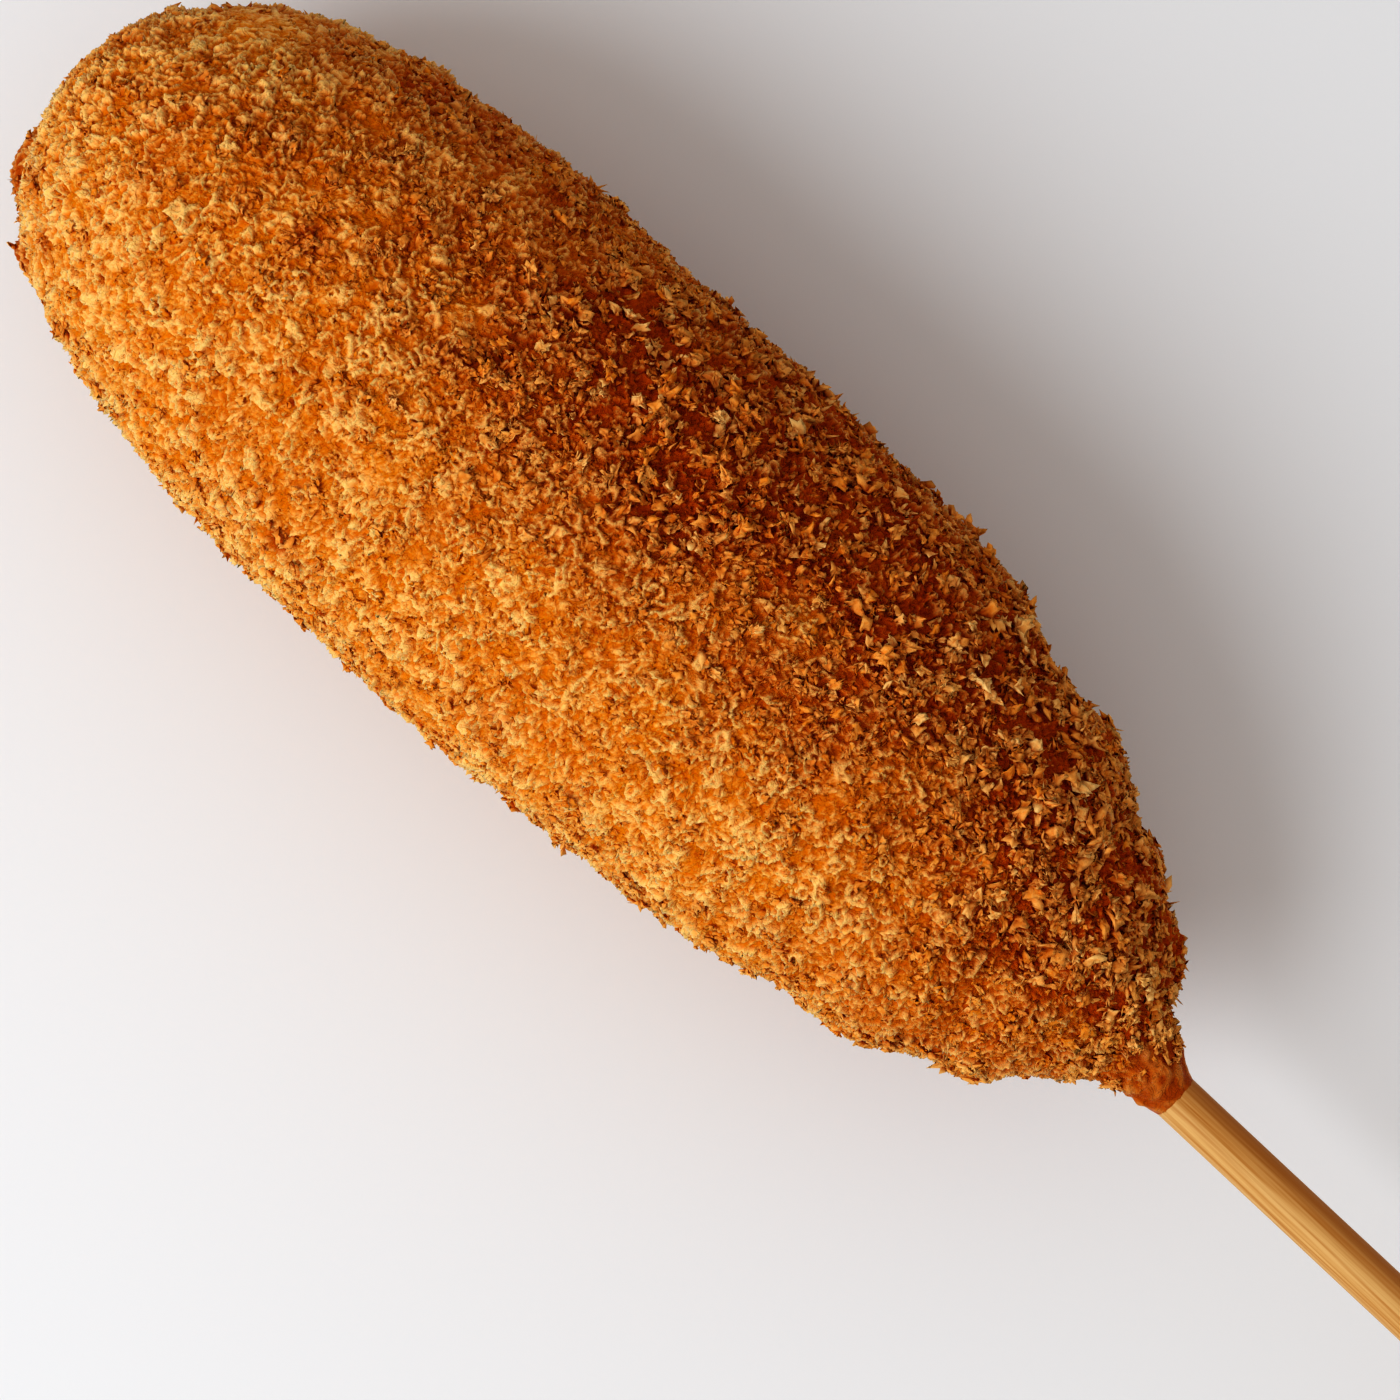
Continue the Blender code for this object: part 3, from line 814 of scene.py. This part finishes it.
class CORNDOG_OT_crumbs(bpy.types.Operator):
    """Scatters the fried bread crumbs over the batter in three sizes, and lays the pale clusters"""

    bl_idname = "corn_dog.crumbs"
    bl_label = "Crumbs"

    def execute(self, context):
        settings = context.scene.corn_dog_crumbs
        batter = read_batter()
        draw = np.random.default_rng(settings.seed)
        material = fried_crumb(settings)
        shapes = {
            size: [flake_shape(draw, rim, rings) for _ in range(number)]
            for size, (rim, rings, number) in CRUMB_SHAPES.items()
        }
        for name, size, share, crowd, lengths, liking in CRUMB_PIECES:
            count = round(getattr(settings, size) * share)
            places = crumb_places(batter, count, crowd, liking, draw)
            scatter_crumbs(name, places, shapes[size], lengths, draw, material)
        places = cluster_places(batter, draw)
        scatter_crumbs("pale_clusters", places, shapes["large"], CLUSTER_LENGTHS, draw, material)
        return {"FINISHED"}


def bamboo(settings):
    """Split and turned bamboo, sanded but unvarnished.

    Fibres 0.1 to 0.35 mm wide run its whole length, some paler and some browner. The side towards +Y, away
    from the window light, is painted browner as shade.
    """
    material = bpy.data.materials.new("bamboo")
    material.use_nodes = True
    tree = material.node_tree
    shader = tree.nodes["Principled BSDF"]
    place = add_node(tree, "ShaderNodeTexCoord")
    stretched = add_node(
        tree, "ShaderNodeMapping", {"Vector": place.outputs["Object"], "Scale": (0.02, 1.0, 1.0)}
    )
    fibres = add_node(
        tree, "ShaderNodeTexNoise",
        {"Vector": stretched.outputs[0], "Scale": 1 / (FIBRE_SHADE_WIDTH * MM), "Detail": 4.0},
    )
    ramp = add_node(tree, "ShaderNodeValToRGB", {"Fac": fibres.outputs["Fac"]})
    ramp.color_ramp.elements[0].position = 0.3
    ramp.color_ramp.elements[0].color = settings.dark_colour
    ramp.color_ramp.elements[1].position = 0.62
    ramp.color_ramp.elements[1].color = settings.light_colour
    parts = add_node(tree, "ShaderNodeSeparateXYZ", {"Vector": place.outputs["Object"]})
    towards_shade_side = add_node(
        # Browner towards +Y: painted shade on the stick's side away from the window.
        tree, "ShaderNodeMapRange",
        {"Value": parts.outputs["Y"], "From Min": AXIS_Y + SHADE_SIDE_FROM * MM, "From Max": AXIS_Y + SHADE_SIDE_TO * MM},
    )
    side_shade = product(tree, towards_shade_side.outputs[0], 0.85)
    side_shaded = mix_colours(tree, side_shade, ramp.outputs["Color"], settings.shade_side_colour)
    tree.links.new(side_shaded, shader.inputs["Base Color"])
    bump = add_node(
        tree, "ShaderNodeBump", {"Height": fibres.outputs["Fac"], "Strength": 0.4, "Distance": 0.06 * MM}
    )
    tree.links.new(bump.outputs["Normal"], shader.inputs["Normal"])
    shader.inputs["Roughness"].default_value = 0.5
    return material


class CORNDOG_OT_stick(bpy.types.Operator):
    """Models the bamboo stick with its fibres and its cut end"""

    bl_idname = "corn_dog.stick"
    bl_label = "Stick"

    def execute(self, context):
        settings = context.scene.corn_dog_stick
        shape = bmesh.new()
        length = STICK_HIGH.x - STICK_LOW.x
        radius = STICK_RADIUS * MM
        bmesh.ops.create_cone(
            shape, cap_ends=True, segments=STICK_SIDES, radius1=radius, radius2=radius, depth=length
        )
        middle = Vector(((STICK_LOW.x + STICK_HIGH.x) / 2, AXIS_Y, AXIS_Z))
        turn = Matrix.Translation(middle) @ Matrix.Rotation(math.pi / 2, 4, "Y")
        bmesh.ops.transform(shape, matrix=turn, verts=shape.verts)
        rims = [line for line in shape.edges if line.calc_face_angle() > RIM_ANGLE]
        bmesh.ops.bevel(
            shape, geom=rims, offset=END_ROUNDING * MM, segments=3, profile=0.5, affect="EDGES", material=-1
        )
        lengthwise = [line for line in shape.edges if line.calc_length() > length / 2]
        bmesh.ops.subdivide_edges(shape, edges=lengthwise, cuts=STICK_CUTS, use_grid_fill=True)
        grain = (FIBRE_LENGTH * MM, FIBRE_WIDTH * MM, FIBRE_WIDTH * MM)
        for vertex in shape.verts:
            around = Vector((0.0, vertex.co.y - AXIS_Y, vertex.co.z - AXIS_Z))
            if around.length < radius * FLAT_END_SHARE:
                continue
            place = (vertex.co.x, around.y, around.z)
            groove = noise.noise([at / width for at, width in zip(place, grain)])
            vertex.co += around.normalized() * (groove - 0.5) * settings.fibre_depth * MM
        bmesh.ops.recalc_face_normals(shape, faces=shape.faces)
        mesh = bpy.data.meshes.new("bamboo_stick")
        shape.to_mesh(mesh)
        shape.free()
        mesh.shade_smooth()
        mesh.set_sharp_from_angle(angle=math.radians(35))
        new_piece("bamboo_stick", mesh, bamboo(settings), "stick")
        return {"FINISHED"}


def pale_table(settings):
    """A plain matt white table top."""
    material = bpy.data.materials.new("pale_table")
    material.use_nodes = True
    shader = material.node_tree.nodes["Principled BSDF"]
    shader.inputs["Base Color"].default_value = settings.floor_colour
    shader.inputs["Roughness"].default_value = 0.7
    return material


class CORNDOG_OT_stage(bpy.types.Operator):
    """Lays the pale floor, hangs the window light and sets the camera over the object"""

    bl_idname = "corn_dog.stage"
    bl_label = "Stage"

    def execute(self, context):
        settings = context.scene.corn_dog_stage
        shape = bmesh.new()
        bmesh.ops.create_grid(shape, x_segments=1, y_segments=1, size=FLOOR_REACH)
        mesh = bpy.data.meshes.new("floor")
        shape.to_mesh(mesh)
        shape.free()
        mesh.materials.append(pale_table(settings))
        floor = bpy.data.objects.new("floor", mesh)
        context.scene.collection.objects.link(floor)

        light = bpy.data.lights.new("window", "AREA")
        light.shape = "DISK"
        light.size = WINDOW_WIDTH
        light.energy = settings.key_power
        light.color = WINDOW_COLOUR
        window = bpy.data.objects.new("window", light)
        window.location = Vector(WINDOW_AIM) + Vector(WINDOW_OFFSET)
        window.rotation_mode = "QUATERNION"
        window.rotation_quaternion = (-Vector(WINDOW_OFFSET)).to_track_quat("-Z", "Y")
        context.scene.collection.objects.link(window)

        world = bpy.data.worlds.new("studio")
        world.use_nodes = True
        background = world.node_tree.nodes["Background"]
        background.inputs["Color"].default_value = ROOM_COLOUR
        background.inputs["Strength"].default_value = settings.fill
        context.scene.world = world
        context.scene.view_settings.view_transform = "Standard"
        context.scene.view_settings.look = "Very High Contrast"

        camera = bpy.data.objects.new("camera", bpy.data.cameras.new("camera"))
        camera.data.lens = LENS
        camera.data.sensor_width = SENSOR
        camera.data.clip_start = 0.01
        distance = PHOTO_WIDTH * LENS / SENSOR * MM
        camera.location = (TIP_X + PHOTO_STATION * MM, AXIS_Y + PHOTO_ASIDE * MM, AXIS_Z + distance)
        camera.rotation_euler = (0.0, 0.0, math.radians(PHOTO_ROLL))
        context.scene.collection.objects.link(camera)
        context.scene.camera = camera
        return {"FINISHED"}


class CORNDOG_PT_sidebar(bpy.types.Panel):
    """Lists the corn dog's operators"""

    bl_idname = "CORNDOG_PT_sidebar"
    bl_label = "Corn Dog"
    bl_space_type = "VIEW_3D"
    bl_region_type = "UI"
    bl_category = "Corn Dog"

    def draw(self, context):
        for operator in OPERATORS:
            self.layout.operator(operator.bl_idname)


SETTINGS = {
    "corn_dog_batter": BatterSettings,
    "corn_dog_crumbs": CrumbSettings,
    "corn_dog_stick": StickSettings,
    "corn_dog_stage": StageSettings,
}
OPERATORS = (CORNDOG_OT_stage, CORNDOG_OT_batter, CORNDOG_OT_crumbs, CORNDOG_OT_stick)


def register():
    for name, group in SETTINGS.items():
        bpy.utils.register_class(group)
        setattr(bpy.types.Scene, name, bpy.props.PointerProperty(type=group))
    for kind in OPERATORS + (CORNDOG_PT_sidebar,):
        bpy.utils.register_class(kind)


def unregister():
    for kind in OPERATORS + (CORNDOG_PT_sidebar,):
        bpy.utils.unregister_class(kind)
    for name, group in SETTINGS.items():
        delattr(bpy.types.Scene, name)
        bpy.utils.unregister_class(group)


def main():
    register()
    bpy.ops.corn_dog.stage()
    bpy.ops.corn_dog.batter()
    bpy.ops.corn_dog.crumbs()
    bpy.ops.corn_dog.stick()


if __name__ == "__main__":
    main()
